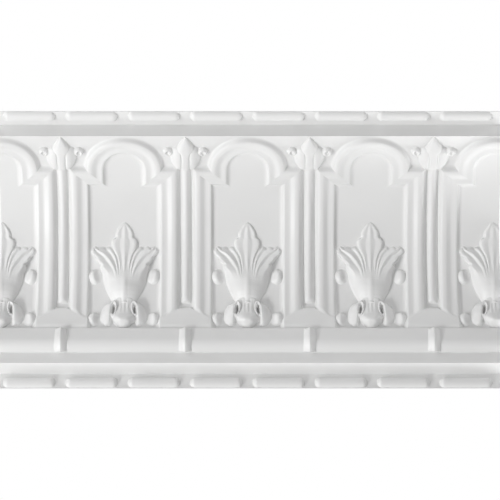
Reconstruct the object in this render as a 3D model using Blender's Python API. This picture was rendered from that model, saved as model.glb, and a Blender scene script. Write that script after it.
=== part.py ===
"""Crown moulding pressed from one sheet of tin-plated steel, painted white.

The sheet is worked out flat, as a relief over a developed strip, then rolled
onto the side profile.  Along the length the relief repeats every PITCH and is
mirrored about each leaf, so half a pitch is modelled, thinned, mirrored and
repeated, and the run is cut square at both ends.

Lengths are in millimetres here and become metres when the mesh is made.
Out is the distance from the wall plane, Z is up, X runs along the wall.
"""
import math
from collections import Counter

import bmesh
import bpy
import numpy as np
from mathutils import Vector

# Driving dimensions of the whole moulding
MM = 0.001
PROJECTION = 222.25
DROP = 254.0
PITCH = 152.4
HALF_PITCH = PITCH / 2
SHEET = 0.38
LEFT_END = -306.2
RIGHT_END = 312.3

# Side profile, from the wall strip up to the ceiling strip
WALL_STRIP = 22.2
SOFFIT = 21.3
LOWER_FASCIA = 16.7
OVOLO_RADIUS = 11.9
OVOLO_FACE = 16.9
QUIRK_DEPTH = 5.0
QUIRK_FALL = 3.0
TOP_FASCIA = 19.0
CEILING_STRIP = 23.75
COVE_RADIUS = DROP - TOP_FASCIA - (WALL_STRIP + LOWER_FASCIA + OVOLO_RADIUS + OVOLO_FACE - QUIRK_FALL)
COVE_LENGTH = COVE_RADIUS * math.pi / 2
FOOT_EASE = 12.0

# Raised band that frames each bay: the feet of its inner edge
NECK_HALF = 20.0
BAY_HALF = 39.0
SPRING_LINE = 50.9
SHOULDER_LINE = 77.0
BAND_SECTION = ((0, 0), (1.8, 0.3), (3.0, 0.7), (4.3, 1.7), (5.4, 3.1), (6.5, 3.95), (7.6, 4.15),
                (10.4, 3.85), (12.4, 3.75), (14.2, 4.0), (16.5, 4.9), (18.9, 5.95),
                (20.4, 6.35), (22.2, 6.4), (24.2, 6.1), (25.4, 5.5), (26.5, 4.2), (27.6, 2.2),
                (28.7, 0.8), (29.8, 0.15), (31.0, 0))

# Reed in the channel between two bands, and the plain block at its foot
REED_HALF = 6.2
REED_HEIGHT = 5.2
REED_BOTTOM = 225.0
REED_TAPER = 8.0
BLOCK_TOP = 229.0
BLOCK_RAKE = 0.62
BLOCK_HEIGHT = 4.9
BLOCK_EASE = 6.0

# Depth of the eye hollows in the leaf's collar, and height of the scrolls and curls
EYE_DEPTH = 4.2
SCROLL_HEIGHT = 6.0
CURL_HEIGHT = 5.6

# Bars on the two nailing strips
BAR_GAP = 12.0
BAR_HALF_WIDTH = 8.0
BAR_HEIGHT = 5.0
BAR_DOME = 7.0
BAR_FROM_EDGE = 8.7

# Half-round strap across the ovolo under each pilaster
STRAP_TOP_HALF = 7.0
STRAP_FOOT_HALF = 7.8
STRAP_HEIGHT = 5.6

# How finely the relief is worked out, and the faces kept in half a pitch
GRID_STEP = 0.95
THINNED = {("ceiling strip", "ceiling strip"): 56, ("cove", "cove"): 392,
           ("ovolo face", "ovolo"): 48, ("wall strip", "wall strip"): 52}
PLAIN = ("top fascia", "quirk", "lower fascia", "soffit")
FLAT = 0.25
SEAM = 0.3
WELD = 0.01
EDGE_REACH = 1.6
CORNER_REACH = 0.4
SPARE_SHARE = 0.15
LEAST_FACING = 0.03


def ease(low, high, value):
    """Smooth step from 0 at low to 1 at high."""
    t = np.clip((value - low) / (high - low), 0.0, 1.0)
    return t * t * (3.0 - 2.0 * t)


def swell(value):
    """Soft round-topped bump, 1 at 0 and flat again at 1."""
    t = np.clip(np.abs(value), 0.0, 1.0)
    return (1.0 - t * t) ** 2


def follow(knots, value):
    """Smooth curve through knots, without overshoot, held at both ends."""
    x = np.array([k[0] for k in knots], float)
    y = np.array([k[1] for k in knots], float)
    rise = np.diff(y) / np.diff(x)
    slope = np.zeros_like(y)
    slope[0], slope[-1] = rise[0], rise[-1]
    before, after = rise[:-1], rise[1:]
    same = before * after > 0
    both = np.where(same, before + after, 1.0)
    slope[1:-1] = np.where(same, 2.0 * before * after / both, 0.0)
    value = np.clip(value, x[0], x[-1])
    i = np.clip(np.searchsorted(x, value, side="right") - 1, 0, len(x) - 2)
    span = x[i + 1] - x[i]
    t = (value - x[i]) / span
    rest = 1.0 - t
    return (y[i] * (1.0 + 2.0 * t) * rest ** 2 + slope[i] * span * t * rest ** 2
            + y[i + 1] * t ** 2 * (3.0 - 2.0 * t) - slope[i + 1] * span * t ** 2 * rest)


def spine(points, count=28):
    """Catmull-Rom path through a few points, evenly numbered from 0 to 1."""
    p = np.array([points[0], *points, points[-1]], float)
    p[0] = 2 * p[1] - p[2]
    p[-1] = 2 * p[-2] - p[-3]
    at = np.linspace(0, len(points) - 1, count)
    i = np.minimum(at.astype(int), len(points) - 2)
    t = (at - i)[:, None]
    a, b, c, d = p[i], p[i + 1], p[i + 2], p[i + 3]
    return 0.5 * (2 * b + (c - a) * t + (2 * a - 5 * b + 4 * c - d) * t ** 2
                  + (3 * b - a - 3 * c + d) * t ** 3)


def beside(u, s, points):
    """Fraction along a spine, distance from it, and on which side of it."""
    path = spine(points)
    along = np.zeros(u.shape)
    away = np.full(u.shape, np.inf)
    side = np.zeros(u.shape)
    for k, (start, end) in enumerate(zip(path[:-1], path[1:])):
        step = end - start
        t = ((u - start[0]) * step[0] + (s - start[1]) * step[1]) / (step @ step)
        t = np.clip(t, 0.0, 1.0)
        du = u - start[0] - t * step[0]
        ds = s - start[1] - t * step[1]
        reach = np.hypot(du, ds)
        closer = reach < away
        away = np.where(closer, reach, away)
        along = np.where(closer, (k + t) / (len(path) - 1), along)
        side = np.where(closer, np.sign(step[0] * ds - step[1] * du), side)
    return along, away, side


def petal(u, s, points, half_width, height, fullness=2.3, roundness=0.65):
    """Rounded lobe that follows a spine, with its own width and height."""
    along, away, _ = beside(u, s, points)
    x = np.clip(away / follow(half_width, along), 0.0, 1.0)
    return follow(height, along) * (1.0 - x ** fullness) ** roundness


# Side profile


def profile():
    """The runs of the profile from the ceiling strip's front edge down.

    Each run is a list of points (out, z) and of unit normals to the room.
    """
    ovolo_out = SOFFIT + OVOLO_RADIUS
    face_top = WALL_STRIP + LOWER_FASCIA + OVOLO_RADIUS + OVOLO_FACE
    cove_foot = (ovolo_out - QUIRK_DEPTH, face_top - QUIRK_FALL)
    fascia_foot = DROP - TOP_FASCIA
    radius = fascia_foot - cove_foot[1]
    fascia_out = cove_foot[0] + radius

    def straight(start, end, normal):
        count = max(1, round(math.dist(start, end) / GRID_STEP))
        t = np.linspace(0, 1, count + 1)[:, None]
        points = np.array(start) * (1 - t) + np.array(end) * t
        return points, np.tile(np.array(normal, float), (count + 1, 1))

    def arc(centre, size, first, last, inward):
        count = round(size * abs(last - first) / GRID_STEP)
        turn = np.linspace(first, last, count + 1)
        ray = np.stack([np.cos(turn), np.sin(turn)], axis=1)
        return np.array(centre) + size * ray, -ray if inward else ray

    right = math.pi / 2
    quirk = (np.array([-QUIRK_FALL, QUIRK_DEPTH]) / math.hypot(QUIRK_FALL, QUIRK_DEPTH))
    ovolo_foot = WALL_STRIP + LOWER_FASCIA
    return {
        "ceiling strip": straight((PROJECTION, DROP), (fascia_out, DROP), (0, -1)),
        "top fascia": straight((fascia_out, DROP), (fascia_out, fascia_foot), (1, 0)),
        "cove": arc((fascia_out, cove_foot[1]), radius, right, 2 * right, True),
        "quirk": straight(cove_foot, (ovolo_out, face_top), quirk),
        "ovolo face": straight((ovolo_out, face_top), (ovolo_out, face_top - OVOLO_FACE), (1, 0)),
        "ovolo": arc((SOFFIT, ovolo_foot + OVOLO_RADIUS), OVOLO_RADIUS, 0, -right, False),
        "lower fascia": straight((SOFFIT, ovolo_foot), (SOFFIT, WALL_STRIP), (1, 0)),
        "soffit": straight((SOFFIT, WALL_STRIP), (0, WALL_STRIP), (0, -1)),
        "wall strip": straight((0, WALL_STRIP), (0, 0), (1, 0)),
    }


# Relief of the cove, in u from a leaf's axis and s down from the cove's top


def band(u, s):
    """Raised band round each bay: arch, neck, square shoulder, long side."""
    neck = np.where(s < SPRING_LINE, np.hypot(u, s - SPRING_LINE), u) - NECK_HALF
    bay = np.maximum(u - BAY_HALF, SHOULDER_LINE - s)
    return follow(BAND_SECTION, np.minimum(neck, bay))


def reed(u, s):
    """Reed that stands in the channel between two bands."""
    x = HALF_PITCH - u
    rounding = np.sqrt(1.0 - np.clip((s - REED_BOTTOM + REED_TAPER) / REED_TAPER, 0, 1) ** 2)
    crest = (1 - np.clip(x / REED_HALF, 0, 1) ** 2) ** 0.8
    return REED_HEIGHT * crest * rounding * ease(SHOULDER_LINE - 33, SHOULDER_LINE - 27, s)


def foot_block(u, s):
    """Plain block that closes the channel: its share of the face, its height."""
    top = BLOCK_TOP + BLOCK_RAKE * np.maximum(HALF_PITCH - u - REED_HALF, 0)
    height = BLOCK_HEIGHT * ease(0.5, 6.5, u - BAY_HALF) * (1.0 - 0.42 * ease(257, 269, s))
    return ease(0, BLOCK_EASE, s - top), height


LEAF_CREST = ((121.5, 0.3), (124, 1.5), (128, 2.6), (138, 3.6), (148, 4.5), (158, 5.8),
              (168, 7.5), (178, 9.6), (188, 11.8), (197, 13.6), (205, 14.4), (211, 13.6),
              (217, 11.4), (221.5, 8.6), (224.5, 7.6), (229, 8.8), (236, 10.2), (243, 11.4),
              (249, 12.2), (253, 12.0), (257, 10.0), (260, 6.8), (262.5, 2.0))


def across(u, lines):
    """Height between ribs and hollows; each line is its u and its height."""
    height = np.zeros(u.shape)
    for (near, high), (far, low) in zip(lines[:-1], lines[1:]):
        t = np.clip((u - near) / (far - near), 0.0, 1.0)
        t = 0.45 * t + 0.55 * t * t * (3.0 - 2.0 * t)
        height = np.where(u >= near, high + (low - high) * t, height)
    return height


def wall(inside, width, roundness=0.7):
    """Rounded wall that climbs from 0 to 1 over a width inside an outline."""
    return np.sin(np.clip(inside / width, 0, 1) * math.pi / 2) ** roundness


def middle_lobe(u, s):
    """Tall lobe on the axis: a sharp mid rib, a flute and a raised rim each side."""
    half = follow(((121, 0.2), (124.3, 4.6), (128.6, 7.7), (132.2, 10.0), (136, 11.3),
                   (139.4, 11.4), (141, 12.2), (143, 15.0), (147.5, 16.4), (153, 15.6),
                   (158, 13.6), (162, 11.8), (168, 9.9), (176, 8.6), (190, 7.6), (204, 7.4)), s)
    crest = follow(LEAF_CREST, s)
    depth = 1.9 * ease(122, 134, s) * (1 - ease(172, 200, s))
    x = np.clip(u / half, 0, 1)
    top = across(x, ((0, crest), (0.38, crest - depth), (0.72, crest - 0.45 * depth),
                     (1, crest - 0.9 * depth)))
    return np.where((s > 121) & (s < 206), top * wall(half - u, 3.4), 0.0)


def side_lobe(u, s):
    """Fan of ribs and hollows that bends outward to a tip by the band."""
    gap = follow(((153, 16.0), (160, 11.8), (165, 9.9), (170, 8.8), (180, 7.6), (195, 6.6)), s)
    leaflet = follow(((153, 19.5), (156, 18.0), (160.5, 14.6), (165, 12.2), (170, 10.6),
                      (180, 8.8), (195, 7.4)), s)
    groove = follow(((153, 24.5), (156, 22.4), (160.5, 18.4), (165, 15.6), (170, 13.1),
                     (175, 11.3), (180, 10.0), (195, 8.2)), s)
    rib = follow(((153, 37.0), (156, 34.0), (160.5, 26.4), (166, 21.2), (171, 17.4),
                  (176, 14.9), (181, 12.7), (186, 11.2), (195, 9.6)), s)
    hollow = follow(((153, 38.0), (156, 36.5), (160.5, 32.0), (165, 26.6), (170, 23.0),
                     (175, 19.6), (180, 16.2), (186, 13.9), (195, 12.0)), s)
    margin = follow(((153, 39.5), (156, 38.6), (160.5, 37.0), (165, 32.4), (170, 30.0),
                     (175, 25.8), (180, 24.0), (186, 20.0), (195, 17.0)), s)
    foot = follow(((152, 41.8), (156, 42.6), (161, 41.2), (165, 36.6), (170, 34.0), (175, 29.8),
                   (177.7, 30.6), (180.2, 30.0), (185, 28.0), (195, 26.4)), s)
    crest = follow(((153, 4.0), (160, 5.4), (166, 6.9), (171, 8.1), (176, 9.4), (181, 10.6),
                    (188, 12.0), (195, 13.4)), s)
    deep = 1 - ease(170, 196, s)
    top = across(u, ((0 * s, crest - 1.2 * deep), (gap, crest - 2.2 * deep),
                     (leaflet, crest - 0.6 * deep), (groove, crest - 2.1 * deep), (rib, crest),
                     (hollow, crest - 0.6 - 1.5 * deep), (margin, crest - 1.6 + 0.7 * deep),
                     (foot, crest - 2.4 + 1.2 * deep)))
    edge = 153.4 - 1.6 * np.abs(np.sin((u - 15.0) / 8.6 * math.pi)) + 1.6 * ease(37, 42, u)
    height = top * wall(foot - u, 10.0 - 7.0 * deep) * wall(s - edge, 4.4, 0.9)
    return np.where(s < 206, height, 0.0)


def belly(u, s):
    """Swollen lower body of the leaf, drawn in to a waist."""
    half = follow(((180, 29.6), (185, 27.8), (195, 26.4), (201, 25.0), (206, 23.3), (211, 21.2),
                   (216, 18.8), (220, 16.8), (223.5, 14.8), (226, 14.2)), s)
    x = np.clip(u / half, 0, 1)
    rib = 0.7 * swell(u / 5.0)
    height = (follow(LEAF_CREST, s) - 0.7 + rib) * (1 - x ** 1.5) ** 0.75
    return np.where((s > 172) & (s < 227), height, 0.0)


def collar(u, s):
    """Pointed tongue under the waist and two petals, with an eye hollow each side."""
    half = follow(((221, 13.0), (226, 12.2), (230, 11.2), (235, 11.0), (241, 12.8), (247, 15.4),
                   (250, 14.4), (254, 11.4), (258, 7.6), (261, 3.8), (263, 0.4)), s)
    x = np.clip(u / half, 0, 1)
    tongue = 0.84 * follow(LEAF_CREST, s) * (1 - x ** 3.2) ** 0.6
    tongue = np.where((s > 221) & (s < 263), tongue, 0.0)
    outer = petal(u, s, ((15.5, 226.5), (19.8, 231), (21.7, 238), (21.8, 248)),
                  ((0, 4.0), (0.4, 5.6), (0.8, 6.2), (1, 5.6)),
                  ((0, 7.4), (0.3, 7.8), (0.65, 6.2), (1, 4.2)), 2.4, 0.6)
    away = np.hypot((u - 13.8 - 0.1 * (s - 236)) / 4.3, (s - 236) / 9.6)
    loop = (9.6 - 0.13 * (s - 226)) * swell((away - 1.0) / 0.62) ** 0.6
    eye = EYE_DEPTH * swell(away / 0.72)
    return np.maximum(np.maximum.reduce([outer, loop, tongue]) - eye, 0.0)


def scroll(u, s, centre, reach, hand=1):
    """Dished volute: its floor climbs outward to a crest and a steep wall."""
    x = (u - centre[0]) / reach[0]
    y = (s - centre[1]) / reach[1] * hand
    floor = SCROLL_HEIGHT * (0.5 + 0.5 * ease(-0.4, 0.25, x + 0.2 * y))
    return floor * (1 - np.clip(np.hypot(x, y), 0, 1) ** 3) ** 0.8


def leaf(u, s):
    """The large leaf that fills the foot of each bay."""
    lower = ease(183, 204, s)
    fan = np.maximum(middle_lobe(u, s), side_lobe(u, s))
    body = fan * (1 - lower) + belly(u, s) * lower
    parts = [body, collar(u, s), scroll(u, s, (36.2, 190.0), (8.8, 9.6)),
             scroll(u, s, (36.2, 247.5), (8.8, 9.6), -1)]
    return np.maximum.reduce(parts)


def palmette(u, s):
    """Small leaf over each reed: a middle lobe, and side lobes that curl over."""
    x = HALF_PITCH - u
    half = follow(((1.5, 0.3), (6, 3.8), (12, 7.6), (18, 10.8), (21.5, 11.4), (24, 9.8), (27, 7.8),
                   (34, 7.0), (42, 6.8), (48, 6.2), (54, 4.6)), s)
    crest = follow(((1.5, 1.2), (6, 3.8), (12, 5.8), (18, 7.0), (26, 8.0), (36, 8.4), (44, 7.6),
                    (50, 5.4), (54, 2.4)), s)
    middle = crest * (1 - np.clip(x / half, 0, 1) ** 3) ** 0.6
    middle = np.where((s > 1.5) & (s < 54), middle, 0.0)
    reach = follow(((17, 5.0), (20, 8.6), (25, 10.8), (33, 11.6), (40, 10.4), (46, 7.4), (51, 4.0)), s)
    outward = np.where(x > 7.5, (x - 7.5) / reach, (7.5 - x) / 5.4)
    shelf = follow(((17, 0.5), (20, 4.4), (25, 6.8), (34, 7.8), (42, 7.0), (48, 4.6), (52, 1.0)), s)
    side = shelf * (1 - np.clip(outward, 0, 1) ** 2) ** 0.8
    side = np.where((s > 17) & (s < 52), side, 0.0)
    curl = CURL_HEIGHT * (1 - np.clip(np.hypot(x - 20.8, s - 24.8) / 6.6, 0, 1) ** 2.4) ** 0.9
    return np.maximum.reduce([middle, side, curl])


def cove_relief(u, s):
    """Everything raised on the cove: the block at the foot takes the band's place."""
    share, block = foot_block(u, s)
    ground = band(u, s) * (1 - share) + block * share
    return np.maximum.reduce([ground, reed(u, s), leaf(u, s), palmette(u, s)])


def bar_relief(u, from_edge):
    """Hollow half-round bar with domed ends on a nailing strip."""
    straight = HALF_PITCH / 2 - BAR_GAP / 2 - BAR_DOME
    end = np.clip((np.abs(u - HALF_PITCH / 2) - straight) / BAR_DOME, 0, None)
    across = (from_edge - BAR_FROM_EDGE) / BAR_HALF_WIDTH
    return BAR_HEIGHT * np.clip(1 - end ** 2.4 - across ** 2, 0, 1) ** 0.7


def strap_relief(u, t):
    """Half-round strap across the ovolo; t runs from its top to its foot."""
    half = STRAP_TOP_HALF + (STRAP_FOOT_HALF - STRAP_TOP_HALF) * t
    x = np.clip((HALF_PITCH - u) / half, 0, 1)
    ends = ease(0, 0.10, t) * (1 - ease(0.86, 1.0, t))
    return STRAP_HEIGHT * ends * (1 - x ** 1.35) ** 0.85


def run_relief(name, u, s, length):
    """Relief of one run of the profile, and the way out that it is raised."""
    across, level = np.meshgrid(u, s)
    ovolo_length = OVOLO_FACE + OVOLO_RADIUS * math.pi / 2
    if name == "cove":
        return cove_relief(across, level)
    if name == "quirk":
        return cove_relief(u, np.full(u.shape, COVE_LENGTH)) * (1 - level / length)
    if name == "ceiling strip":
        return bar_relief(across, level)
    if name == "wall strip":
        return bar_relief(across, WALL_STRIP - level)
    if name == "ovolo face":
        return strap_relief(across, level / ovolo_length)
    if name == "ovolo":
        return strap_relief(across, (level + OVOLO_FACE) / ovolo_length)
    return np.zeros(level.shape)


def relief_rows(runs, u):
    """Rows of the sheet: point, way its relief rises, inward mitre, relief.

    Also says which rows each run spans; neighbours share the row of their arris.
    """
    rows = []
    spans = {}
    for name, (points, normals) in runs.items():
        first = max(len(rows) - 1, 0)
        s = np.concatenate([[0.0], np.cumsum(np.hypot(*np.diff(points, axis=0).T))])
        height = run_relief(name, u, s, s[-1])
        lift = normals.copy()
        if name == "cove":
            lift[:, 1] += QUIRK_FALL / QUIRK_DEPTH * ease(s[-1] - FOOT_EASE, s[-1], s)
        if name == "quirk":
            lift[:] = (1.0, QUIRK_FALL / QUIRK_DEPTH)
        for row in zip(points, lift, normals, height):
            if rows and np.allclose(rows[-1][0], row[0]):
                point, last_lift, last_normal, last_height = rows.pop()
                mitre = (last_normal + row[2]) / (1.0 + last_normal @ row[2])
                row = (point, last_lift, mitre, last_height)
            rows.append(row)
        spans[name] = (first, len(rows) - 1)
    return rows, spans


# Mesh


def relief_mesh(rows, first, last, u):
    """Fine mesh of a stretch of rows; each vertex keeps its row's number."""
    wide = len(u)
    point, lift, _, height = (np.array(column) for column in zip(*rows[first:last + 1]))
    out = point[:, :1] + lift[:, :1] * height
    z = point[:, 1:] + lift[:, 1:] * height
    places = np.stack([np.tile(u, (len(height), 1)), -out, z], axis=-1).reshape(-1, 3)
    corner = (np.arange(len(height) - 1)[:, None] * wide + np.arange(wide - 1)).ravel()
    faces = np.stack([corner, corner + 1, corner + wide + 1, corner + wide], axis=1)
    mesh = bpy.data.meshes.new("relief")
    mesh.from_pydata(places, [], faces)
    row = mesh.attributes.new("row", "FLOAT", "POINT")
    row.data.foreach_set("value", np.repeat(np.arange(first, last + 1, dtype=float), wide))
    return mesh


def thinned(mesh, count, mitres):
    """The mesh thinned to about that many triangles: places, rows and faces."""
    piece = bpy.data.objects.new("relief", mesh)
    bpy.context.scene.collection.objects.link(piece)
    thin = piece.modifiers.new("thin", "DECIMATE")
    thin.decimate_type = "COLLAPSE"
    thin.use_collapse_triangulate = True
    best = None
    for spare in range(0, int(count * SPARE_SHARE), 4):
        thin.ratio = (count - spare) / (2 * len(mesh.polygons))
        evaluated = piece.evaluated_get(bpy.context.evaluated_depsgraph_get())
        result = evaluated.to_mesh()
        places = np.array([v.co[:] for v in result.vertices])
        levels = np.array([item.value for item in result.attributes["row"].data])
        faces = [p.vertices[:] for p in result.polygons]
        evaluated.to_mesh_clear()
        folds = folded(places[np.array(faces)], levels[np.array(faces)].mean(axis=1), mitres)
        if best is None or folds < best[0]:
            best = (folds, places, levels, faces)
        if folds == 0:
            break
    bpy.data.objects.remove(piece)
    return best[1:]


def folded(corners, levels, mitres):
    """How many triangles of a thinned relief have turned their face from the room."""
    normal = np.cross(corners[:, 1] - corners[:, 0], corners[:, 2] - corners[:, 0])
    out, up = (np.interp(levels, np.arange(len(mitres)), mitres[:, axis]) for axis in (0, 1))
    facing = normal[:, 2] * up - normal[:, 1] * out
    facing *= np.sign(facing.sum()) / np.linalg.norm(normal, axis=1)
    return int(np.sum(facing < LEAST_FACING))


def half_tile(rows, spans, u):
    """Half a pitch: the runs with relief thinned, the plain runs between them."""
    places, levels, faces = np.zeros((0, 3)), np.zeros(0), []
    mitres = np.array([mitre for _, _, mitre, _ in rows])
    for (start, end), count in THINNED.items():
        mesh = relief_mesh(rows, spans[start][0], spans[end][1], u)
        more_places, more_levels, more_faces = thinned(mesh, count, mitres)
        faces += [[i + len(places) for i in face] for face in more_faces]
        places = np.concatenate([places, more_places])
        levels = np.concatenate([levels, more_levels])
    sides = Counter(frozenset(side) for face in faces for side in zip(face, face[1:] + face[:1]))
    edge = np.zeros(len(places) + 2, bool)
    edge[[i for side, uses in sides.items() if uses == 1 for i in side]] = True
    edge[-2:] = True
    bare = spans["soffit"][0]
    places = np.concatenate([places, [(0, 0, 0), (HALF_PITCH, 0, 0)]])
    levels = np.concatenate([levels, [bare, bare]])
    for place in (0.0, HALF_PITCH):
        places[edge & (np.abs(places[:, 0] - place) < SEAM), 0] = place
    inner = (places[:, 0] > 0) & (places[:, 0] < HALF_PITCH)
    reach = np.where(inner, EDGE_REACH, CORNER_REACH)
    for name in PLAIN:
        ends = []
        for row in spans[name]:
            arris = np.flatnonzero(edge & (np.abs(levels - row) < reach))
            point, lift, _, height = rows[row]
            rise = np.interp(places[arris, 0], u, height)
            places[arris, 1] = -(point[0] + lift[0] * rise)
            places[arris, 2] = point[1] + lift[1] * rise
            levels[arris] = row
            ends.append(arris[np.argsort(places[arris, 0])])
        faces.append([*ends[1][::-1], *ends[0]])
    return places, levels, faces


def flatten(places):
    """Bring what is nearly flat on the nailing strips to exactly flat."""
    wall_side = places[:, 2] < WALL_STRIP - FLAT
    places[wall_side & (places[:, 1] > -FLAT), 1] = 0.0
    ceiling = places[:, 1] < -(PROJECTION - CEILING_STRIP + FLAT)
    places[ceiling & (places[:, 2] > DROP - FLAT), 2] = DROP


def repeat(places, levels, faces):
    """Mirror and repeat the half tile along the run, and weld the seams."""
    sheet = bmesh.new()
    row = sheet.verts.layers.float.new("row")
    for index in range(math.floor(LEFT_END / PITCH), math.ceil(RIGHT_END / PITCH) + 1):
        for hand in (1, -1):
            made = [sheet.verts.new(place) for place in places * (hand, 1, 1) + (index * PITCH, 0, 0)]
            for vertex, level in zip(made, levels):
                vertex[row] = level
            for face in faces:
                sheet.faces.new([made[i] for i in face[::hand]])
    bmesh.ops.remove_doubles(sheet, verts=sheet.verts, dist=WELD)
    return sheet


def cut_square(sheet):
    """Cut the run off square at both ends."""
    for place, side in ((LEFT_END, -1), (RIGHT_END, 1)):
        everything = sheet.verts[:] + sheet.edges[:] + sheet.faces[:]
        bmesh.ops.bisect_plane(sheet, geom=everything, dist=1e-4, plane_co=(place, 0, 0),
                               plane_no=(side, 0, 0), clear_outer=True)
    bmesh.ops.triangulate(sheet, faces=[f for f in sheet.faces if len(f.verts) > 3])


def add_back(sheet, rows):
    """Give the pressed skin its thickness, behind the face."""
    front = list(sheet.verts)
    rims = [edge for edge in sheet.edges if edge.is_boundary]
    faces = list(sheet.faces)
    row = sheet.verts.layers.float["row"]
    levels = [vertex[row] for vertex in front]
    mitres = np.array([mitre for _, _, mitre, _ in rows])
    out, up = (np.interp(levels, np.arange(len(rows)), mitres[:, axis]) for axis in (0, 1))
    back = {}
    for vertex, step_out, step_up in zip(front, out, up):
        step = (0, SHEET * step_out, -SHEET * step_up)
        back[vertex] = sheet.verts.new(vertex.co + Vector(step))
    for face in faces:
        sheet.faces.new([back[v] for v in reversed(face.verts)])
    for edge in rims:
        a, b = edge.verts
        sheet.faces.new([a, b, back[b], back[a]])
    bmesh.ops.triangulate(sheet, faces=[f for f in sheet.faces if len(f.verts) > 3])
    bmesh.ops.recalc_face_normals(sheet, faces=sheet.faces)


def painted_steel():
    material = bpy.data.materials.new("white_satin_paint")
    material.use_nodes = True
    shader = material.node_tree.nodes["Principled BSDF"]
    shader.inputs["Base Color"].default_value = (0.86, 0.86, 0.85, 1.0)
    shader.inputs["Roughness"].default_value = 0.42
    shader.inputs["Metallic"].default_value = 0.0
    return material


def clear_scene():
    for item in list(bpy.data.objects):
        bpy.data.objects.remove(item)


def crown_moulding():
    """Build the pressed sheet, with its origin on the back of the wall strip."""
    u = np.linspace(0, HALF_PITCH, round(HALF_PITCH / GRID_STEP) + 1)
    rows, spans = relief_rows(profile(), u)
    places, levels, faces = half_tile(rows, spans, u)
    flatten(places)
    sheet = repeat(places, levels, faces)
    cut_square(sheet)
    add_back(sheet, rows)
    bmesh.ops.translate(sheet, verts=sheet.verts, vec=(0, -SHEET, -WALL_STRIP / 2))
    bmesh.ops.scale(sheet, verts=sheet.verts, vec=(MM, MM, MM))
    mesh = bpy.data.meshes.new("crown_moulding")
    sheet.to_mesh(mesh)
    sheet.free()
    mesh.materials.append(painted_steel())
    mesh.shade_smooth()
    mesh.set_sharp_from_angle(angle=math.radians(35))
    piece = bpy.data.objects.new("crown_moulding", mesh)
    bpy.context.scene.collection.objects.link(piece)
    return piece


clear_scene()
crown_moulding()
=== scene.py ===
"""The finished look of a pressed metal crown moulding, painted white.

Lengths in the relief are in millimetres, as a pattern maker would give them.
Out is the distance from the wall, Z is up and X runs along the wall.
"""
import math
from collections import Counter

import bmesh
import bpy
import numpy as np
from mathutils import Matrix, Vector


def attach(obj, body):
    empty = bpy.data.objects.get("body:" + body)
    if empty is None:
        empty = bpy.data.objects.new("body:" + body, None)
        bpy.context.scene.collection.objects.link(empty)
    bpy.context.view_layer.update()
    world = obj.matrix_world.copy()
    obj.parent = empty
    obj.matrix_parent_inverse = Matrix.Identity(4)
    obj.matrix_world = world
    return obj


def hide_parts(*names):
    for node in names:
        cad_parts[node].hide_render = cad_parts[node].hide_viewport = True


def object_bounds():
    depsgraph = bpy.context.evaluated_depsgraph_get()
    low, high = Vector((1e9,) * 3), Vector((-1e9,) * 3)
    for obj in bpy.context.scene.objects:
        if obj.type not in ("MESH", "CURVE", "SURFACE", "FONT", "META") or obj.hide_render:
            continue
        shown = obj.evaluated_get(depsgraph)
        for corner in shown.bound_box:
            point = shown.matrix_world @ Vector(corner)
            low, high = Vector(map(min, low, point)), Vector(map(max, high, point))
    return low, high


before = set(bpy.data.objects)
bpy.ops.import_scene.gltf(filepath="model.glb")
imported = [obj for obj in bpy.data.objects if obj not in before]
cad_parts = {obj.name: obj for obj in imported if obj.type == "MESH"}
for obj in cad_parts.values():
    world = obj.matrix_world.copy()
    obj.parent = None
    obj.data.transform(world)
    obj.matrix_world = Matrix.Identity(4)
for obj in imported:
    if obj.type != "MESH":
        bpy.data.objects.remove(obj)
cad_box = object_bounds()


# Side profile of the sheet
# The real piece is one length of thin steel, rolled and pressed to this line.
# It runs from the front edge of the ceiling strip to the foot of the wall
# strip, and is nailed to the wall and the ceiling through those two strips.

MM = 0.001
PROJECTION = 222.25
DROP = 254.0
PITCH = 152.4
HALF_PITCH = PITCH / 2
SHEET = 0.38
WALL_STRIP = 22.2
SOFFIT = 21.3
LOWER_FASCIA = 16.7
OVOLO_RADIUS = 11.9
OVOLO_FACE = 16.9
QUIRK_DEPTH = 5.0
QUIRK_FALL = 3.0
TOP_FASCIA = 19.0
COVE_RADIUS = DROP - TOP_FASCIA - (WALL_STRIP + LOWER_FASCIA + OVOLO_RADIUS + OVOLO_FACE - QUIRK_FALL)
COVE_LENGTH = COVE_RADIUS * math.pi / 2
FOOT_EASE = 12.0
ROW_STEP = 0.5
COLUMN_STEP = 0.5


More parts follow.
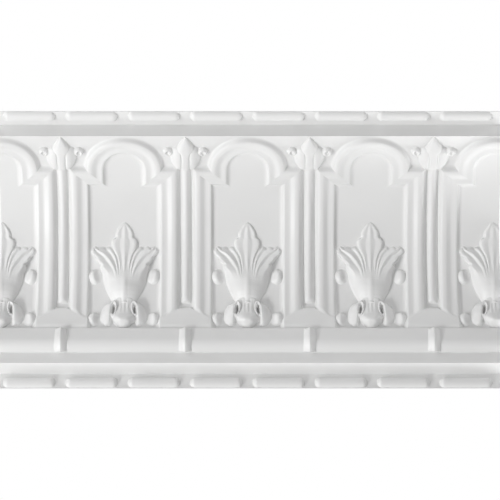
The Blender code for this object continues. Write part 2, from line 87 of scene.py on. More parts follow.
def profile():
    """The runs of the profile from the ceiling strip's front edge down.

    Each run is a list of points (out, z) and of unit normals to the room.
    """
    ovolo_out = SOFFIT + OVOLO_RADIUS
    face_top = WALL_STRIP + LOWER_FASCIA + OVOLO_RADIUS + OVOLO_FACE
    cove_foot = (ovolo_out - QUIRK_DEPTH, face_top - QUIRK_FALL)
    fascia_foot = DROP - TOP_FASCIA
    radius = fascia_foot - cove_foot[1]
    fascia_out = cove_foot[0] + radius

    def straight(start, end, normal):
        count = max(1, round(math.dist(start, end) / ROW_STEP))
        t = np.linspace(0, 1, count + 1)[:, None]
        points = np.array(start) * (1 - t) + np.array(end) * t
        return points, np.tile(np.array(normal, float), (count + 1, 1))

    def arc(centre, size, first, last, inward):
        count = round(size * abs(last - first) / ROW_STEP)
        turn = np.linspace(first, last, count + 1)
        ray = np.stack([np.cos(turn), np.sin(turn)], axis=1)
        return np.array(centre) + size * ray, -ray if inward else ray

    right = math.pi / 2
    quirk = np.array([-QUIRK_FALL, QUIRK_DEPTH]) / math.hypot(QUIRK_FALL, QUIRK_DEPTH)
    ovolo_foot = WALL_STRIP + LOWER_FASCIA
    return {
        "ceiling strip": straight((PROJECTION, DROP), (fascia_out, DROP), (0, -1)),
        "top fascia": straight((fascia_out, DROP), (fascia_out, fascia_foot), (1, 0)),
        "cove": arc((fascia_out, cove_foot[1]), radius, right, 2 * right, True),
        "quirk": straight(cove_foot, (ovolo_out, face_top), quirk),
        "ovolo face": straight((ovolo_out, face_top), (ovolo_out, face_top - OVOLO_FACE), (1, 0)),
        "ovolo": arc((SOFFIT, ovolo_foot + OVOLO_RADIUS), OVOLO_RADIUS, 0, -right, False),
        "lower fascia": straight((SOFFIT, ovolo_foot), (SOFFIT, WALL_STRIP), (1, 0)),
        "soffit": straight((SOFFIT, WALL_STRIP), (0, WALL_STRIP), (0, -1)),
        "wall strip": straight((0, WALL_STRIP), (0, 0), (1, 0)),
    }


# Raised band round each bay
# The die raises a double band, a low fillet and a high bead, that frames the
# bay with a round arch on square shoulders. In the relief, u is measured
# from a leaf's axis and s down the cove from its top.

NECK_HALF = 20.0
BAY_HALF = 39.0
SPRING_LINE = 50.9
SHOULDER_LINE = 77.0
BAND_SECTION = ((0, 0), (1.8, 0.3), (3.0, 0.7), (4.3, 1.7), (5.4, 3.1), (6.5, 3.95), (7.6, 4.15),
                (10.4, 3.85), (12.4, 3.75), (14.2, 4.0), (16.5, 4.9), (18.9, 5.95),
                (20.4, 6.35), (22.2, 6.4), (24.2, 6.1), (25.4, 5.5), (26.5, 4.2), (27.6, 2.2),
                (28.7, 0.8), (29.8, 0.15), (31.0, 0))


def ease(low, high, value):
    """Smooth step from 0 at low to 1 at high."""
    t = np.clip((value - low) / (high - low), 0.0, 1.0)
    return t * t * (3.0 - 2.0 * t)


def swell(value):
    """Soft round-topped bump, 1 at 0 and flat again at 1."""
    t = np.clip(np.abs(value), 0.0, 1.0)
    return (1.0 - t * t) ** 2


def follow(knots, value):
    """Smooth curve through knots, without overshoot, held at both ends."""
    x = np.array([k[0] for k in knots], float)
    y = np.array([k[1] for k in knots], float)
    rise = np.diff(y) / np.diff(x)
    slope = np.zeros_like(y)
    slope[0], slope[-1] = rise[0], rise[-1]
    before, after = rise[:-1], rise[1:]
    same = before * after > 0
    both = np.where(same, before + after, 1.0)
    slope[1:-1] = np.where(same, 2.0 * before * after / both, 0.0)
    value = np.clip(value, x[0], x[-1])
    i = np.clip(np.searchsorted(x, value, side="right") - 1, 0, len(x) - 2)
    span = x[i + 1] - x[i]
    t = (value - x[i]) / span
    rest = 1.0 - t
    return (y[i] * (1.0 + 2.0 * t) * rest ** 2 + slope[i] * span * t * rest ** 2
            + y[i + 1] * t ** 2 * (3.0 - 2.0 * t) - slope[i + 1] * span * t ** 2 * rest)


def band(u, s):
    """Raised band round each bay: arch, neck, square shoulder, long side."""
    neck = np.where(s < SPRING_LINE, np.hypot(u, s - SPRING_LINE), u) - NECK_HALF
    bay = np.maximum(u - BAY_HALF, SHOULDER_LINE - s)
    return follow(BAND_SECTION, np.minimum(neck, bay))


# Reed and block between two bays
# A single round reed stands in the channel between two bands. The channel
# is closed at its foot by a plain raised block with a raked top.

REED_HALF = 6.2
REED_HEIGHT = 5.2
REED_RISE = (44.0, 50.0)
REED_BOTTOM = 225.0
REED_TAPER = 8.0
BLOCK_TOP = 229.0
BLOCK_RAKE = 0.62
BLOCK_HEIGHT = 4.9
BLOCK_EASE = 6.0
BLOCK_SIDE = (0.5, 6.5)
BLOCK_SINK = 0.42
BLOCK_SINK_SPAN = (257, 269)


def reed(u, s):
    """Reed that stands in the channel between two bands."""
    x = HALF_PITCH - u
    rounding = np.sqrt(1.0 - np.clip((s - REED_BOTTOM + REED_TAPER) / REED_TAPER, 0, 1) ** 2)
    crest = (1 - np.clip(x / REED_HALF, 0, 1) ** 2) ** 0.8
    return REED_HEIGHT * crest * rounding * ease(*REED_RISE, s)


def foot_block(u, s):
    """Plain block that closes the channel: its share of the face, its height."""
    top = BLOCK_TOP + BLOCK_RAKE * np.maximum(HALF_PITCH - u - REED_HALF, 0)
    sunk = 1.0 - BLOCK_SINK * ease(*BLOCK_SINK_SPAN, s)
    height = BLOCK_HEIGHT * ease(*BLOCK_SIDE, u - BAY_HALF) * sunk
    return ease(0, BLOCK_EASE, s - top), height


# Large leaf in each bay
# A deep-drawn leaf: a fluted middle lobe, side lobes that fan outward, a
# swollen belly, a waist, a pleated tongue between two looped petals, and
# dished scrolls. Spans and levels are down the cove, like s.

LEAF_TIP = 121
FLUTE_DEPTH = 1.2
LOBE_WALL = 2.8
FAN_TOP = 153.4
FAN_END = 206
FAN_WALL = 4.4
SCALLOP_DEPTH = 1.6
SCALLOP_WIDTH = 8.6
BELLY_FROM = 172
BELLY_BLEND = (183, 204)
BELLY_RIB = 0.7
BELLY_RIB_HALF = 5.0
LEAF_WAIST = 227
TONGUE_SPAN = (221, 263)
PLEAT_HEIGHT = 0.35
PLEAT_SPACING = 4.9
PLEAT_HALF = 8.6
PLEAT_LEVEL = 233
PLEAT_LENGTH = 13
SKIRT_SPAN = (223, 257.5)
EYE_LEVEL = 236
EYE_OUT = 13.4
EYE_HALF_WIDTH = 3.6
EYE_HALF_LENGTH = 9.2
EYE_SLANT = 0.1
EYE_DEPTH = 1.4
LOOP_HEIGHT = 9.4
LOOP_TOP = 226
LOOP_FALL = 0.1
SCROLL_HEIGHT = 6.0
SCROLL_FLOOR = 0.22
SCROLL_OUT = 36.2
SCROLL_LEVELS = (190.0, 247.5)
SCROLL_REACH = (8.8, 9.6)
LEAF_CREST = ((121.5, 0.3), (124, 1.5), (128, 2.6), (138, 3.6), (148, 4.5), (158, 5.8),
              (168, 7.5), (178, 9.6), (188, 11.8), (197, 13.6), (205, 14.4), (211, 13.6),
              (217, 11.4), (221.5, 8.6), (224.5, 7.6), (229, 8.8), (236, 10.2))


def across(u, lines):
    """Height between ribs and hollows; each line is its u and its height."""
    height = np.zeros(u.shape)
    for (near, high), (far, low) in zip(lines[:-1], lines[1:]):
        t = np.clip((u - near) / (far - near), 0.0, 1.0)
        t = 0.45 * t + 0.55 * t * t * (3.0 - 2.0 * t)
        height = np.where(u >= near, high + (low - high) * t, height)
    return height


def wall(inside, width, roundness=0.7):
    """Rounded wall that climbs from 0 to 1 over a width inside an outline."""
    return np.sin(np.clip(inside / width, 0, 1) * math.pi / 2) ** roundness


def middle_lobe(u, s):
    """Tall lobe on the axis: a sharp mid rib, a flute and a raised rim each side."""
    half = follow(((121, 0.2), (124.3, 4.6), (128.6, 7.7), (132.2, 10.0), (136, 11.3),
                   (139.4, 11.4), (141, 12.2), (143, 15.0), (147.5, 16.4), (153, 15.6),
                   (158, 13.6), (162, 11.8), (168, 9.9), (176, 8.6), (190, 7.6), (204, 7.4)), s)
    crest = follow(LEAF_CREST, s)
    depth = FLUTE_DEPTH * ease(LEAF_TIP + 1, 134, s) * (1 - ease(BELLY_FROM, 200, s))
    x = np.clip(u / half, 0, 1)
    top = across(x, ((0, crest), (0.38, crest - depth), (0.72, crest - 0.45 * depth),
                     (1, crest - 0.9 * depth)))
    return np.where((s > LEAF_TIP) & (s < FAN_END), top * wall(half - u, LOBE_WALL), 0.0)


def side_lobe(u, s):
    """Fan of ribs and hollows that bends outward to a tip by the band."""
    gap = follow(((153, 16.0), (160, 11.8), (165, 9.9), (170, 8.8), (180, 7.6), (195, 6.6)), s)
    leaflet = follow(((153, 19.5), (156, 18.0), (160.5, 14.6), (165, 12.2), (170, 10.6),
                      (180, 8.8), (195, 7.4)), s)
    groove = follow(((153, 24.5), (156, 22.4), (160.5, 18.4), (165, 15.6), (170, 13.1),
                     (175, 11.3), (180, 10.0), (195, 8.2)), s)
    rib = follow(((153, 37.0), (156, 34.0), (160.5, 26.4), (166, 21.2), (171, 17.4),
                  (176, 14.9), (181, 12.7), (186, 11.2), (195, 9.6)), s)
    hollow = follow(((153, 38.0), (156, 36.5), (160.5, 32.0), (165, 26.6), (170, 23.0),
                     (175, 19.6), (180, 16.2), (186, 13.9), (195, 12.0)), s)
    margin = follow(((153, 39.5), (156, 38.6), (160.5, 37.0), (165, 32.4), (170, 30.0),
                     (175, 25.8), (180, 24.0), (186, 20.0), (195, 17.0)), s)
    foot = follow(((152, 41.8), (156, 42.6), (161, 41.2), (165, 36.6), (170, 34.0), (175, 29.8),
                   (177.7, 30.6), (180.2, 30.0), (185, 28.0), (195, 26.4)), s)
    crest = follow(((153, 4.0), (160, 5.4), (166, 6.9), (171, 8.1), (176, 9.4), (181, 10.6),
                    (188, 12.0), (195, 13.4)), s)
    deep = 1 - ease(170, 196, s)
    top = across(u, ((0 * s, crest - 1.2 * deep), (gap, crest - 2.2 * deep),
                     (leaflet, crest - 0.6 * deep), (groove, crest - 2.1 * deep), (rib, crest),
                     (hollow, crest - 0.6 - 1.5 * deep), (margin, crest - 1.6 + 0.7 * deep),
                     (foot, crest - 2.4 + 1.2 * deep)))
    scallop = SCALLOP_DEPTH * np.abs(np.sin((u - 15.0) / SCALLOP_WIDTH * math.pi))
    edge = FAN_TOP - scallop + SCALLOP_DEPTH * ease(37, 42, u)
    height = top * wall(foot - u, 10.0 - 7.0 * deep) * wall(s - edge, FAN_WALL, 0.9)
    return np.where(s < FAN_END, height, 0.0)


def belly(u, s):
    """Swollen lower body of the leaf, drawn in to a waist."""
    half = follow(((180, 29.6), (185, 27.8), (195, 26.4), (201, 25.0), (206, 23.3), (211, 21.2),
                   (216, 18.8), (220, 16.8), (223.5, 14.8), (226, 14.2)), s)
    x = np.clip(u / half, 0, 1)
    rib = BELLY_RIB * swell(u / BELLY_RIB_HALF)
    height = (follow(LEAF_CREST, s) - BELLY_RIB + rib) * (1 - x ** 1.7) ** 0.68
    return np.where((s > BELLY_FROM) & (s < LEAF_WAIST), height, 0.0)


def collar(u, s):
    """Pointed tongue under the waist, and a petal looped round an eye each side."""
    half = follow(((221, 13.0), (226, 12.2), (230, 11.2), (235, 11.0), (241, 12.8), (247, 15.4),
                   (250, 14.4), (254, 11.4), (258, 7.6), (261, 3.8), (263, 0.4)), s)
    rise = follow(((221, 8.0), (225, 6.8), (229, 6.6), (236, 7.6), (243, 9.4), (250, 11.8),
                   (254.5, 12.8), (257.5, 12.0), (260.5, 8.4), (262.5, 2.6)), s)
    pleat = PLEAT_HEIGHT * np.cos(u * 2 * math.pi / PLEAT_SPACING) * (u < PLEAT_HALF)
    pleat = pleat * swell((s - PLEAT_LEVEL) / PLEAT_LENGTH)
    tongue = (rise + pleat) * (1 - np.clip(u / half, 0, 1) ** 3.2) ** 0.6
    tongue = np.where((s > TONGUE_SPAN[0]) & (s < TONGUE_SPAN[1]), tongue, 0.0)
    rim = follow(((223, 14.0), (230, 16.6), (240, 17.4), (250, 18.0), (257, 19.0)), s)
    reach = follow(((223, 3.0), (228, 7.5), (234, 10.2), (242, 11.6), (248, 11.4), (254, 7.5),
                    (257.5, 3.0)), s)
    skirt = follow(((223, 0.6), (227, 6.4), (232, 8.8), (240, 8.8), (248, 7.2), (254, 4.6),
                    (257.5, 0.8)), s)
    outward = np.where(u > rim, (u - rim) / reach, (rim - u) / 4.0)
    outer = skirt * (1 - np.clip(outward, 0, 1) ** 1.6) ** 0.8
    outer = np.where((s > SKIRT_SPAN[0]) & (s < SKIRT_SPAN[1]), outer, 0.0)
    down = s - EYE_LEVEL
    away = np.hypot((u - EYE_OUT - EYE_SLANT * down) / EYE_HALF_WIDTH, down / EYE_HALF_LENGTH)
    loop = (LOOP_HEIGHT - LOOP_FALL * (s - LOOP_TOP)) * swell((away - 1.0) / 0.6) ** 0.6
    eye = EYE_DEPTH * swell(away / 0.7)
    return np.maximum(np.maximum.reduce([outer, loop, tongue]) - eye, 0.0)


def scroll(u, s, level, hand):
    """Dished volute: its floor climbs outward to a crest and a steep wall."""
    x = (u - SCROLL_OUT) / SCROLL_REACH[0]
    y = (s - level) / SCROLL_REACH[1] * hand
    climb = ease(-0.75, 0.3, x + 0.2 * y)
    floor = SCROLL_HEIGHT * (SCROLL_FLOOR + (1 - SCROLL_FLOOR) * climb)
    return floor * (1 - np.clip(np.hypot(x, y), 0, 1) ** 3) ** 0.8


def leaf(u, s):
    """The large leaf that fills the foot of each bay."""
    lower = ease(*BELLY_BLEND, s)
    fan = np.maximum(middle_lobe(u, s), side_lobe(u, s))
    body = fan * (1 - lower) + belly(u, s) * lower
    scrolls = [scroll(u, s, level, hand) for level, hand in zip(SCROLL_LEVELS, (1, -1))]
    return np.maximum.reduce([body, collar(u, s), *scrolls])


# Palmette over each reed
# A small leaf pressed where two arches meet: a middle lobe, and side lobes
# that curl over at their tips.

PALMETTE_SPAN = (1.5, 54)
SIDE_SPAN = (17, 52)
SIDE_CREST_OUT = 7.5
SIDE_INNER_REACH = 5.4
CURL_PLACE = (21.4, 24.6)
CURL_REACH = 6.3
CURL_HEIGHT = 5.6
CURL_HOLLOW = 3.2
CURL_FLOOR = 0.8
CURL_WALL = 3.2


def palmette(u, s):
    """Small leaf over each reed: a middle lobe, and side lobes that curl over."""
    x = HALF_PITCH - u
    half = follow(((1.5, 0.3), (6, 3.8), (12, 7.6), (18, 10.8), (21.5, 11.4), (24, 9.8), (27, 7.8),
                   (34, 7.0), (42, 6.8), (48, 6.2), (54, 4.6)), s)
    crest = follow(((1.5, 1.2), (6, 3.8), (12, 5.8), (18, 7.0), (26, 8.0), (36, 8.4), (44, 7.6),
                    (50, 5.4), (54, 2.4)), s)
    middle = crest * (1 - np.clip(x / half, 0, 1) ** 3) ** 0.6
    middle = np.where((s > PALMETTE_SPAN[0]) & (s < PALMETTE_SPAN[1]), middle, 0.0)
    reach = follow(((17, 5.0), (20, 8.6), (25, 10.8), (33, 11.6), (40, 10.4), (46, 7.4), (51, 4.0)), s)
    past = x - SIDE_CREST_OUT
    outward = np.where(past > 0, past / reach, -past / SIDE_INNER_REACH)
    shelf = follow(((17, 0.5), (20, 4.4), (25, 6.8), (34, 7.8), (42, 7.0), (48, 4.6), (52, 1.0)), s)
    side = shelf * (1 - np.clip(outward, 0, 1) ** 2) ** 0.8
    side = np.where((s > SIDE_SPAN[0]) & (s < SIDE_SPAN[1]), side, 0.0)
    across_curl = x - CURL_PLACE[0]
    away = np.hypot(across_curl, s - CURL_PLACE[1])
    curl = CURL_HEIGHT * (1 - np.clip(away / CURL_REACH, 0, 1) ** 4) ** 0.7
    ring = swell((away - CURL_FLOOR) / CURL_WALL)
    hollow = CURL_HOLLOW * ring * ease(-4.5, 0.5, across_curl)
    return np.maximum(middle, np.maximum(side, curl) - hollow)


def cove_relief(u, s):
    """Everything raised on the cove: the block at the foot takes the band's place."""
    share, block = foot_block(u, s)
    ground = band(u, s) * (1 - share) + block * share
    return np.maximum.reduce([ground, reed(u, s), leaf(u, s), palmette(u, s)])


# Bars on the two nailing strips
# Hollow half-round bars with blunt domed ends, with a plain gap at each
# leaf's and each reed's axis where the nails go.

BAR_GAP = 12.0
BAR_HALF_WIDTH = 8.0
BAR_HEIGHT = 5.0
BAR_DOME = 7.0
BAR_FROM_EDGE = 8.7


def bar_relief(u, from_edge):
    """Hollow half-round bar with domed ends on a nailing strip."""
    straight = HALF_PITCH / 2 - BAR_GAP / 2 - BAR_DOME
    end = np.clip((np.abs(u - HALF_PITCH / 2) - straight) / BAR_DOME, 0, None)
    across = (from_edge - BAR_FROM_EDGE) / BAR_HALF_WIDTH
    return BAR_HEIGHT * np.clip(1 - end ** 2.4 - across ** 2, 0, 1) ** 0.7


# Strap across the ovolo
# A strap with sloping sides and a rounded ridge under each reed, pressed with
# the ovolo that it crosses.

STRAP_TOP_HALF = 7.0
STRAP_FOOT_HALF = 7.8
STRAP_HEIGHT = 5.6
STRAP_TOP_END = (0, 0.10)
STRAP_FOOT_END = (0.86, 1.0)


def strap_relief(u, t):
    """Ridged strap across the ovolo; t runs from its top to its foot."""
    half = STRAP_TOP_HALF + (STRAP_FOOT_HALF - STRAP_TOP_HALF) * t
    x = np.clip((HALF_PITCH - u) / half, 0, 1)
    ends = ease(*STRAP_TOP_END, t) * (1 - ease(*STRAP_FOOT_END, t))
    return STRAP_HEIGHT * ends * (1 - x ** 1.35) ** 0.85


# The pressed sheet
# The relief is laid on the side profile for half a repeat, thinned to the
# faces its form needs, mirrored and repeated, cut square and given its back.
# Thinning moves the vertices on an arris a little: SEAM and WELD are in
# millimetres, and the two reaches are in rows, between the seams and at them.

THINNED = {("ceiling strip", "ceiling strip"): 460, ("cove", "cove"): 10400,
           ("ovolo face", "ovolo"): 420, ("wall strip", "wall strip"): 420}
PLAIN = ("top fascia", "quirk", "lower fascia", "soffit")
SEAM = 0.1
WELD = 0.004
EDGE_REACH = 1.6
CORNER_REACH = 0.4


def run_relief(name, u, s, length):
    """Relief of one run of the profile, and the way out that it is raised."""
    across, level = np.meshgrid(u, s)
    ovolo_length = OVOLO_FACE + OVOLO_RADIUS * math.pi / 2
    if name == "cove":
        return cove_relief(across, level)
    if name == "quirk":
        return cove_relief(u, np.full(u.shape, COVE_LENGTH)) * (1 - level / length)
    if name == "ceiling strip":
        return bar_relief(across, level)
    if name == "wall strip":
        return bar_relief(across, WALL_STRIP - level)
    if name == "ovolo face":
        return strap_relief(across, level / ovolo_length)
    if name == "ovolo":
        return strap_relief(across, (level + OVOLO_FACE) / ovolo_length)
    return np.zeros(level.shape)


def relief_rows(runs, u):
    """Rows of the sheet: point, way its relief rises, inward mitre, relief.

    Also says which rows each run spans; neighbours share the row of their arris.
    """
    rows = []
    spans = {}
    for name, (points, normals) in runs.items():
        first = max(len(rows) - 1, 0)
        s = np.concatenate([[0.0], np.cumsum(np.hypot(*np.diff(points, axis=0).T))])
        height = run_relief(name, u, s, s[-1])
        lift = normals.copy()
        if name == "cove":
            lift[:, 1] += QUIRK_FALL / QUIRK_DEPTH * ease(s[-1] - FOOT_EASE, s[-1], s)
        if name == "quirk":
            lift[:] = (1.0, QUIRK_FALL / QUIRK_DEPTH)
        for row in zip(points, lift, normals, height):
            if rows and np.allclose(rows[-1][0], row[0]):
                point, last_lift, last_normal, last_height = rows.pop()
                mitre = (last_normal + row[2]) / (1.0 + last_normal @ row[2])
                row = (point, last_lift, mitre, last_height)
            rows.append(row)
        spans[name] = (first, len(rows) - 1)
    return rows, spans


def relief_mesh(rows, first, last, u):
    """Fine mesh of a stretch of rows; each vertex keeps its row's number."""
    wide = len(u)
    point, lift, _, height = (np.array(column) for column in zip(*rows[first:last + 1]))
    out = point[:, :1] + lift[:, :1] * height
    z = point[:, 1:] + lift[:, 1:] * height
    places = np.stack([np.tile(u, (len(height), 1)), -out, z], axis=-1).reshape(-1, 3)
    corner = (np.arange(len(height) - 1)[:, None] * wide + np.arange(wide - 1)).ravel()
    faces = np.stack([corner, corner + 1, corner + wide + 1, corner + wide], axis=1)
    mesh = bpy.data.meshes.new("relief")
    mesh.from_pydata(places, [], faces)
    row = mesh.attributes.new("row", "FLOAT", "POINT")
    row.data.foreach_set("value", np.repeat(np.arange(first, last + 1, dtype=float), wide))
    return mesh


def thinned(mesh, count):
    """The mesh thinned to about that many triangles: places, rows and faces."""
    piece = bpy.data.objects.new("relief", mesh)
    bpy.context.scene.collection.objects.link(piece)
    thin = piece.modifiers.new("thin", "DECIMATE")
    thin.decimate_type = "COLLAPSE"
    thin.use_collapse_triangulate = True
    thin.ratio = count / (2 * len(mesh.polygons))
    evaluated = piece.evaluated_get(bpy.context.evaluated_depsgraph_get())
    result = evaluated.to_mesh()
    places = np.array([v.co[:] for v in result.vertices])
    levels = np.array([item.value for item in result.attributes["row"].data])
    faces = [p.vertices[:] for p in result.polygons]
    evaluated.to_mesh_clear()
    bpy.data.objects.remove(piece)
    return places, levels, faces


def half_tile(rows, spans, u):
    """Half a pitch: the runs with relief thinned, the plain runs between them."""
    places, levels, faces = np.zeros((0, 3)), np.zeros(0), []
    for (start, end), count in THINNED.items():
        mesh = relief_mesh(rows, spans[start][0], spans[end][1], u)
        more_places, more_levels, more_faces = thinned(mesh, count)
        faces += [[i + len(places) for i in face] for face in more_faces]
        places = np.concatenate([places, more_places])
        levels = np.concatenate([levels, more_levels])
    sides = Counter(frozenset(side) for face in faces for side in zip(face, face[1:] + face[:1]))
    edge = np.zeros(len(places) + 2, bool)
    edge[[i for side, uses in sides.items() if uses == 1 for i in side]] = True
    edge[-2:] = True
    bare = spans["soffit"][0]
    places = np.concatenate([places, [(0, 0, 0), (HALF_PITCH, 0, 0)]])
    levels = np.concatenate([levels, [bare, bare]])
    for place in (0.0, HALF_PITCH):
        places[edge & (np.abs(places[:, 0] - place) < SEAM), 0] = place
    inner = (places[:, 0] > 0) & (places[:, 0] < HALF_PITCH)
    reach = np.where(inner, EDGE_REACH, CORNER_REACH)
    for name in PLAIN:
        ends = []
        for row in spans[name]:
            arris = np.flatnonzero(edge & (np.abs(levels - row) < reach))
            point, lift, _, height = rows[row]
            rise = np.interp(places[arris, 0], u, height)
            places[arris, 1] = -(point[0] + lift[0] * rise)
            places[arris, 2] = point[1] + lift[1] * rise
            levels[arris] = row
            ends.append(arris[np.argsort(places[arris, 0])])
        faces.append([*ends[1][::-1], *ends[0]])
    return places, levels, faces


def repeat(places, levels, faces, left, right):
    """Mirror and repeat the half tile, weld the seams, cut both ends square."""
    sheet = bmesh.new()
    row = sheet.verts.layers.float.new("row")
    for index in range(math.floor(left / PITCH), math.ceil(right / PITCH) + 1):
        for hand in (1, -1):
            made = [sheet.verts.new(place) for place in places * (hand, 1, 1) + (index * PITCH, 0, 0)]
            for vertex, level in zip(made, levels):
                vertex[row] = level
            for face in faces:
                sheet.faces.new([made[i] for i in face[::hand]])
    bmesh.ops.remove_doubles(sheet, verts=sheet.verts, dist=WELD)
    for place, side in ((left, -1), (right, 1)):
        everything = sheet.verts[:] + sheet.edges[:] + sheet.faces[:]
        bmesh.ops.bisect_plane(sheet, geom=everything, dist=1e-4, plane_co=(place, 0, 0),
                               plane_no=(side, 0, 0), clear_outer=True)
    bmesh.ops.triangulate(sheet, faces=[f for f in sheet.faces if len(f.verts) > 3])
    return sheet


def add_back(sheet, rows, spans):
    """Give the pressed skin its thickness; mark the back 1 and the cut rim 2."""
    front = list(sheet.verts)
    faces = list(sheet.faces)
    rims = [edge for edge in sheet.edges if edge.is_boundary]
    row = sheet.verts.layers.float["row"]
    folds = {first for first, _ in spans.values() if first > 0}
    for edge in sheet.edges:
        levels = {round(vertex[row], 3) for vertex in edge.verts}
        edge.smooth = not (len(levels) == 1 and levels & folds)
    levels = [vertex[row] for vertex in front]
    mitres = np.array([mitre for _, _, mitre, _ in rows])
    out, up = (np.interp(levels, np.arange(len(rows)), mitres[:, axis]) for axis in (0, 1))
    back = {}
    for vertex, step_out, step_up in zip(front, out, up):
        back[vertex] = sheet.verts.new(vertex.co + SHEET * Vector((0, step_out, -step_up)))
    for face in faces:
        sheet.faces.new([back[v] for v in reversed(face.verts)]).material_index = 1
    for edge in rims:
        a, b = edge.verts
        sheet.faces.new([a, b, back[b], back[a]]).material_index = 2
        edge.smooth = False
    bmesh.ops.recalc_face_normals(sheet, faces=sheet.faces)


u = np.linspace(0, HALF_PITCH, round(HALF_PITCH / COLUMN_STEP) + 1)
rows, spans = relief_rows(profile(), u)
sheet = repeat(*half_tile(rows, spans, u), cad_box[0].x / MM, cad_box[1].x / MM)
add_back(sheet, rows, spans)
bmesh.ops.translate(sheet, verts=sheet.verts, vec=(0, -SHEET, -WALL_STRIP / 2))
bmesh.ops.scale(sheet, verts=sheet.verts, vec=(MM, MM, MM))
mesh = bpy.data.meshes.new("crown_moulding_sheet")
sheet.to_mesh(mesh)
sheet.free()
moulding = bpy.data.objects.new("crown_moulding_sheet", mesh)
bpy.context.scene.collection.objects.link(moulding)
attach(moulding, "root")
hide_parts("crown_moulding")


# White paint on the face
# Two sprayed coats of satin white, baked on before pressing: very slightly
# uneven in colour and gloss, with a faint orange peel. Noise scales are in
# cycles per metre, and bumps are in metres.

PAINT_COLOURS = ((0.83, 0.83, 0.825), (0.87, 0.87, 0.868))
PAINT_CLOUDS = 14.0
ORANGE_PEEL = 700.0
PEEL_STRENGTH = 0.06
BUMP_DEPTH = 0.0002


class Wire:
    """An output socket; an expression on wires adds Math nodes to its tree."""

    def __init__(self, socket):
        self.socket = socket
        self.tree = socket.id_data

    @classmethod
    def node(cls, tree, kind, settings, values, output=0):
        """Add a node, set it up, then fill its sockets with values or wires."""
        made = tree.nodes.new(kind)
        for name, value in settings.items():
            setattr(made, name, value)
        for name, value in values.items():
            if isinstance(value, Wire):
                tree.links.new(value.socket, made.inputs[name])
            else:
                made.inputs[name].default_value = value
        return cls(made.outputs[output])

    def maths(self, operation, first, second):
        """Math node on two values or wires."""
        return Wire.node(self.tree, "ShaderNodeMath", {"operation": operation}, {0: first, 1: second})

    def __add__(self, other):
        return self.maths("ADD", self, other)

    def __mul__(self, other):
        return self.maths("MULTIPLY", self, other)

    __radd__ = __add__
    __rmul__ = __mul__


def coating(name, metallic):
    """A new material, its node tree, its shader and its object coordinates."""
    material = bpy.data.materials.new(name)
    material.use_nodes = True
    tree = material.node_tree
    shader = tree.nodes["Principled BSDF"]
    shader.inputs["Metallic"].default_value = metallic
    place = Wire.node(tree, "ShaderNodeTexCoord", {}, {}, "Object")
    return material, tree, shader, place


def noise(tree, place, scale, detail=2.0):
    """Fractal noise between 0 and 1, scale in cycles per metre."""
    return Wire.node(tree, "ShaderNodeTexNoise", {}, {"Vector": place, "Scale": scale, "Detail": detail})


def blend(tree, share, first, second):
    """Mix of two colours; share is 0 for the first and 1 for the second."""
    colours = {6: (*first, 1), 7: (*second, 1)}
    return Wire.node(tree, "ShaderNodeMix", {"data_type": "RGBA"}, {0: share, **colours}, 2)


def bumps(tree, strength, height):
    """Normal that a fine noise lifts by a fifth of a millimetre at most."""
    values = {"Strength": strength, "Distance": BUMP_DEPTH, "Height": height}
    return Wire.node(tree, "ShaderNodeBump", {}, values)


def connect(tree, shader, **wires):
    """Link each wire to the shader socket of that name."""
    for name, wire in wires.items():
        tree.links.new(wire.socket, shader.inputs[name.replace("_", " ")])


def white_paint():
    """Satin white paint."""
    material, tree, shader, place = coating("white_satin_paint", 0.0)
    cloud = noise(tree, place, PAINT_CLOUDS, 3.0)
    peel = noise(tree, place, ORANGE_PEEL)
    colour = blend(tree, cloud, *PAINT_COLOURS)
    bump = bumps(tree, PEEL_STRENGTH, peel)
    connect(tree, shader, Base_Color=colour, Roughness=0.34 + 0.16 * cloud, Normal=bump)
    return material


# Bare tinned steel behind
# The back is never seen once the moulding is up, so it is left unpainted.

TIN_COLOURS = ((0.50, 0.51, 0.52), (0.66, 0.67, 0.68))
TIN_SPANGLE = 90.0
TIN_GRAIN = 1400.0
GRAIN_STRENGTH = 0.08


def bare_tin():
    """Tinned steel with a soft spangle."""
    material, tree, shader, place = coating("bare_tinned_steel", 1.0)
    spangle = noise(tree, place, TIN_SPANGLE, 4.0)
    grain = noise(tree, place, TIN_GRAIN)
    colour = blend(tree, spangle, *TIN_COLOURS)
    bump = bumps(tree, GRAIN_STRENGTH, grain)
    connect(tree, shader, Base_Color=colour, Roughness=0.30 + 0.25 * spangle, Normal=bump)
    return material


# Sheared edge
# The thin rim where the sheet was cut shows bright steel.

CUT_COLOURS = ((0.48, 0.48, 0.49), (0.62, 0.62, 0.63))
CUT_BURR = 2500.0


def cut_steel():
    """Freshly sheared steel."""
    material, tree, shader, place = coating("cut_steel_edge", 1.0)
    burr = noise(tree, place, CUT_BURR)
    colour = blend(tree, burr, *CUT_COLOURS)
    connect(tree, shader, Base_Color=colour, Roughness=0.35 + 0.2 * burr)
    return material


for finish in (white_paint(), bare_tin(), cut_steel()):
    mesh.materials.append(finish)


# Floor
# A plain pale floor, far below: the moulding hangs at ceiling height.

FLOOR_LEVEL = -4.6
FLOOR_HALF = 20.0
FLOOR_COLOURS = ((0.80, 0.80, 0.79), (0.86, 0.86, 0.85))
FLOOR_CLOUDS = 2.0


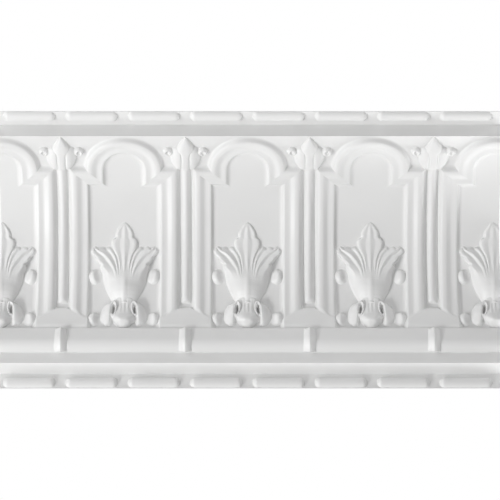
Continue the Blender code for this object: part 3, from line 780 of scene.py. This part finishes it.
def floor():
    """Square floor with a faintly clouded pale finish."""
    made = bpy.data.meshes.new("floor")
    corners = [(x, y, FLOOR_LEVEL) for x, y in ((-1, -1), (1, -1), (1, 1), (-1, 1))]
    corners = [(x * FLOOR_HALF, y * FLOOR_HALF, z) for x, y, z in corners]
    made.from_pydata(corners, [], [(0, 1, 2, 3)])
    material, tree, shader, place = coating("pale_floor", 0.0)
    cloud = noise(tree, place, FLOOR_CLOUDS)
    colour = blend(tree, cloud, *FLOOR_COLOURS)
    connect(tree, shader, Base_Color=colour, Roughness=0.6 + 0.2 * cloud)
    made.materials.append(material)
    plane = bpy.data.objects.new("floor", made)
    bpy.context.scene.collection.objects.link(plane)
    return plane


floor()


# Light
# Soft studio light: small panels from the left draw the relief, large ones
# round the line of sight fill it, and the last one lights the back. Each row:
# degrees off the line of sight, degrees round it from the right, width in
# metres, power in watts.

CHORD_MIDDLE = Vector((0.00305, -PROJECTION * MM / 2, (DROP - WALL_STRIP) * MM / 2))
SIGHT_ELEVATION = math.atan2(PROJECTION, DROP)
SIGHT = Vector((0, -math.cos(SIGHT_ELEVATION), -math.sin(SIGHT_ELEVATION)))
WIDE = 1.2
SMALL = 0.39
BACK = 1.6
PANELS = (
    (92, 330, WIDE, 37.9),
    (50, 195, SMALL, 23.9),
    (92, 300, WIDE, 21.1),
    (92, 30, WIDE, 15.4),
    (50, 210, SMALL, 12.8),
    (30, 0, WIDE, 10.4),
    (86, 210, SMALL, 8.5),
    (60, 120, WIDE, 7.9),
    (62, 225, SMALL, 6.9),
    (86, 150, SMALL, 6.7),
    (30, 300, WIDE, 6.3),
    (50, 150, SMALL, 5.8),
    (50, 180, SMALL, 4.0),
    (86, 225, SMALL, 3.3),
    (50, 240, SMALL, 3.2),
    (74, 240, SMALL, 3.1),
    (74, 150, SMALL, 2.4),
    (135, 90, BACK, 40.0),
)
PANEL_DISTANCE = 3.0
ROOM_LIGHT = 0.16


def panel(tilt, turn, size, power):
    """Square area light that looks at the middle of the moulding."""
    light = bpy.data.lights.new("panel", "AREA")
    light.size = size
    light.energy = power
    lamp = bpy.data.objects.new("panel", light)
    right = Vector((1, 0, 0))
    up = SIGHT.cross(right)
    tilt, turn = math.radians(tilt), math.radians(turn)
    away = SIGHT * math.cos(tilt) + (right * math.cos(turn) + up * math.sin(turn)) * math.sin(tilt)
    lamp.location = CHORD_MIDDLE + away * PANEL_DISTANCE
    lamp.rotation_mode = "QUATERNION"
    lamp.rotation_quaternion = away.to_track_quat("Z", "Y")
    bpy.context.scene.collection.objects.link(lamp)


def room():
    """White to the camera, and dimmer where it lights the moulding."""
    world = bpy.data.worlds.new("room")
    world.use_nodes = True
    tree = world.node_tree
    seen = Wire.node(tree, "ShaderNodeLightPath", {}, {}, "Is Camera Ray")
    glow = Wire.node(tree, "ShaderNodeMath", {"operation": "MAXIMUM"}, {0: seen, 1: ROOM_LIGHT})
    tree.links.new(glow.socket, tree.nodes["Background"].inputs["Strength"])
    tree.nodes["Background"].inputs["Color"].default_value = (1, 1, 1, 1)
    bpy.context.scene.world = world


for row in PANELS:
    panel(*row)
room()


# Camera
# It looks square on at the run, from below, as the photograph does. The
# picture's width is in metres, at the moulding.

LENS = 200.0
SENSOR = 36.0
PICTURE_WIDTH = 0.610


def camera():
    """Long lens on the middle of the moulding, across the cove's chord."""
    data = bpy.data.cameras.new("camera")
    data.lens = LENS
    data.sensor_width = SENSOR
    made = bpy.data.objects.new("camera", data)
    made.location = CHORD_MIDDLE + SIGHT * (PICTURE_WIDTH * LENS / SENSOR)
    made.rotation_mode = "QUATERNION"
    made.rotation_quaternion = SIGHT.to_track_quat("Z", "Y")
    bpy.context.scene.collection.objects.link(made)
    bpy.context.scene.camera = made


camera()
bpy.context.scene.view_settings.view_transform = "Standard"
